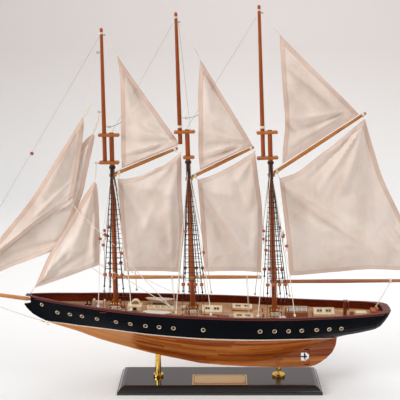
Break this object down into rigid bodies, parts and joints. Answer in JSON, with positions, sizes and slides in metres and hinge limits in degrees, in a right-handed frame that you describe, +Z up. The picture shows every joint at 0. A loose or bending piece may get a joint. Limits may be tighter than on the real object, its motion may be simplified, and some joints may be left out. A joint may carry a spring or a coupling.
{
  "type": "model sailing ship",
  "caption": "Display model of a gaff-rigged schooner on a polished stand, with swinging booms and gaffs, a hinged rudder, a turning propeller and a steering wheel.",
  "frame": {"origin": "middle of the underside of the stand's board, on the ship's centreline", "axes": "+X from bow to stern, +Y to the side away from the name plate, +Z up"},
  "size_m": [0.7944, 0.1146, 0.6278],
  "materials": {
    "stand_black": "black polished lacquer",
    "brass": "polished",
    "hull_wood": "varnished planks",
    "hull_black": "gloss navy-black lacquer",
    "bulwark_wood": "dark reddish-brown varnish",
    "deck_wood": "satin planks",
    "mast_wood": "dark red-brown varnish",
    "spar_wood": "light brown varnish",
    "sailcloth": "plain cream cotton",
    "black_cord": "twisted thread",
    "cream_paint": "cream paint",
    "white_paint": "white paint",
    "cabin_wood": "brown varnish",
    "dark_metal": "blackened"
  },
  "bodies": {
    "ship": {"stand_board": "stand_black", "stand_post_fore": "brass", "stand_post_aft": "brass", "name_plate": "brass", "lower_hull": "hull_wood", "upper_hull": "hull_black", "deck": "deck_wood", "cap_rail_port": "bulwark_wood", "cap_rail_starboard": "bulwark_wood", "bowsprit": "spar_wood", "fore_lower_mast": "mast_wood", "fore_topmast": "mast_wood", "fore_mast_cap": "mast_wood", "fore_trestle_board": "mast_wood", "fore_shrouds_port": "black_cord", "fore_shrouds_starboard": "black_cord", "main_lower_mast": "mast_wood", "main_topmast": "mast_wood", "main_mast_cap": "mast_wood", "main_trestle_board": "mast_wood", "main_shrouds_port": "black_cord", "main_shrouds_starboard": "black_cord", "mizzen_lower_mast": "mast_wood", "mizzen_topmast": "mast_wood", "mizzen_mast_cap": "mast_wood", "mizzen_trestle_board": "mast_wood", "mizzen_shrouds_port": "black_cord", "mizzen_shrouds_starboard": "black_cord", "flying_jib": "sailcloth", "jib": "sailcloth", "staysail": "sailcloth", "windlass": "cream_paint", "hooped_companion": "cream_paint", "slatted_hatch": "cream_paint", "lifeboat_port": "white_paint", "lifeboat_starboard": "white_paint", "main_skylight": "cream_paint", "port_skylight": "cream_paint", "starboard_skylight": "cream_paint", "aft_cabin": "cabin_wood", "aft_skylight": "cream_paint", "wheel_pedestal": "mast_wood", "binnacle": "cabin_wood", "steering_box": "cream_paint", "stern_seat": "cabin_wood"},
    "rudder": {"rudder": "hull_wood"},
    "propeller": {"propeller": "dark_metal"},
    "steering_wheel": {"steering_wheel": "mast_wood"},
    "fore_rig": {"fore_boom": "spar_wood", "fore_gaff": "spar_wood", "fore_gaff_sail": "sailcloth", "fore_topsail": "sailcloth"},
    "main_rig": {"main_boom": "spar_wood", "main_gaff": "spar_wood", "main_gaff_sail": "sailcloth", "main_topsail": "sailcloth"},
    "mizzen_rig": {"mizzen_boom": "spar_wood", "mizzen_gaff": "spar_wood", "mizzen_gaff_sail": "sailcloth", "mizzen_topsail": "sailcloth"}
  },
  "joints": [
    {"name": "rudder_hinge", "type": "hinge", "parent": "ship", "child": "rudder", "pos_m": [0.153, 0, 0.05], "axis": [0, 0, 1], "range_deg": [-30, 30]},
    {"name": "propeller_spin", "type": "hinge", "parent": "ship", "child": "propeller", "pos_m": [0.1436, 0, 0.048], "axis": [1, 0, 0], "continuous": true},
    {"name": "wheel_spin", "type": "hinge", "parent": "ship", "child": "steering_wheel", "pos_m": [0.209, 0, 0.13929], "axis": [1, 0, 0], "continuous": true},
    {"name": "fore_rig_swing", "type": "hinge", "parent": "ship", "child": "fore_rig", "pos_m": [-0.1731, 0, 0.1344], "axis": [0, 0, 1], "range_deg": [-15, 15]},
    {"name": "main_rig_swing", "type": "hinge", "parent": "ship", "child": "main_rig", "pos_m": [-0.0444, 0, 0.1269], "axis": [-0.0262, 0, 0.9997], "range_deg": [-15, 15]},
    {"name": "mizzen_rig_swing", "type": "hinge", "parent": "ship", "child": "mizzen_rig", "pos_m": [0.0917, 0, 0.1223], "axis": [-0.0401, 0, 0.9992], "range_deg": [-20, 20]}
  ]
}
